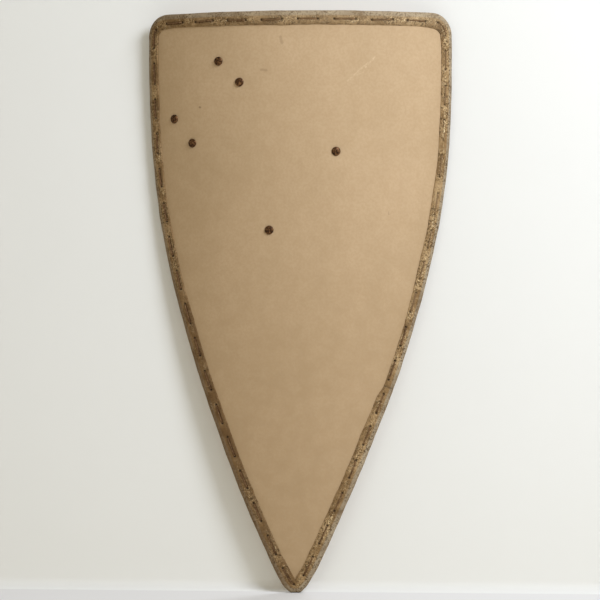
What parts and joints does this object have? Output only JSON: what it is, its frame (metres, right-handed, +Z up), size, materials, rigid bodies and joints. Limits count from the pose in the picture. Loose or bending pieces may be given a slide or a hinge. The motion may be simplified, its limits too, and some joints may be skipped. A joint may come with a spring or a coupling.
{
  "type": "kite shield",
  "caption": "Curved kite shield with a stitched leather edge binding, domed rivets, hand straps and a buckled forearm strap.",
  "frame": {"origin": "middle of the small flat worn on the tip, where the shield touches the floor", "axes": "+Z up from the tip to the top edge, -Y out of the convex front, +X to the right seen from the front"},
  "size_m": [0.5294, 0.1043, 1],
  "materials": {
    "wood": "bare birch plywood, satin",
    "facing": "matt tan hide, smooth",
    "binding": "matt, worn, mottled brown",
    "lace": "dark brown thong",
    "rivet": "dark brown, domed",
    "rove": "dull, peened",
    "strap": "brown saddle leather, satin",
    "brass": "aged brass"
  },
  "bodies": {
    "shield": {"plywood_board": "wood", "front_facing": "facing", "edge_binding_main": "binding", "edge_binding_lower": "binding", "edge_lacing_main": "lace", "edge_lacing_lower": "lace", "hand_upper_top_rivet": "rivet", "hand_upper_top_rove": "rove", "hand_upper_side_rivet": "rivet", "hand_upper_side_rove": "rove", "hand_lower_top_rivet": "rivet", "hand_lower_top_rove": "rove", "hand_lower_side_rivet": "rivet", "hand_lower_side_rove": "rove", "forearm_top_rivet": "rivet", "forearm_top_rove": "rove", "forearm_bottom_rivet": "rivet", "forearm_bottom_rove": "rove", "hand_strap_upper": "strap", "hand_strap_lower": "strap", "forearm_buckle_strap": "strap", "forearm_billet_strap": "strap", "strap_keeper": "strap", "fold_rivet": "rivet", "fold_rivet_washer": "rove"},
    "buckle_frame": {"buckle_frame": "brass"},
    "buckle_prong": {"buckle_prong": "brass"}
  },
  "joints": [
    {"name": "buckle_frame_tilt", "type": "hinge", "parent": "shield", "child": "buckle_frame", "pos_m": [0.00492, 0.0684, 0.68431], "axis": [0.7611, 0.0215, -0.6483], "range_deg": [0, 6]},
    {"name": "buckle_prong_lift", "type": "hinge", "parent": "buckle_frame", "child": "buckle_prong", "pos_m": [0.00492, 0.0684, 0.68431], "axis": [0.7611, 0.0215, -0.6483], "range_deg": [0, 8]}
  ]
}
